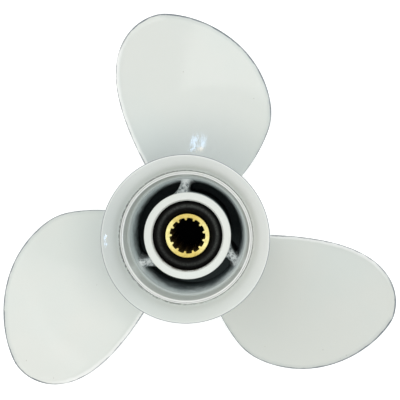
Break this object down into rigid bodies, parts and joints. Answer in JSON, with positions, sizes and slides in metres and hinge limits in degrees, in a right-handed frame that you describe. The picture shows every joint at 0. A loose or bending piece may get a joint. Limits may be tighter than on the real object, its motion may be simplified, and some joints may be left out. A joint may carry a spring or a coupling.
{
  "type": "boat propeller",
  "caption": "Right-hand outboard boat propeller with broad round-eared blades, a flared exhaust hub and a rubber-cushioned splined sleeve.",
  "frame": {"origin": "on the propeller's axis, in the plane of the outer barrel's front end, where the propeller shaft enters", "axes": "+Z along the propeller's axis towards the aft end, -Z forward towards the gearcase, X and Y in the plane of rotation with blade_1 close to +Y"},
  "size_m": [0.2605, 0.2421, 0.105],
  "materials": {
    "gloss_paint": "gloss",
    "rough_casting": "matte",
    "bush_rubber": "satin",
    "sleeve_brass": "satin"
  },
  "bodies": {
    "shaft_sleeve": {"splined_sleeve": "sleeve_brass"},
    "cushion": {"rubber_bush": "bush_rubber"},
    "casting": {"outer_barrel": "gloss_paint", "diffuser_ring": "gloss_paint", "inner_barrel": "gloss_paint", "rib_1": "rough_casting", "rib_2": "rough_casting", "rib_3": "rough_casting", "blade_1": "gloss_paint", "blade_2": "gloss_paint", "blade_3": "gloss_paint"}
  },
  "joints": [
    {"name": "rubber_windup", "type": "hinge", "parent": "shaft_sleeve", "child": "cushion", "pos_m": [0, 0, 0.045], "axis": [0, 0, 1], "range_deg": [-8, 8], "stiffness_Nm_per_rad": 1000},
    {"name": "overload_slip", "type": "hinge", "parent": "cushion", "child": "casting", "pos_m": [0, 0, 0.045], "axis": [0, 0, 1], "continuous": true}
  ]
}
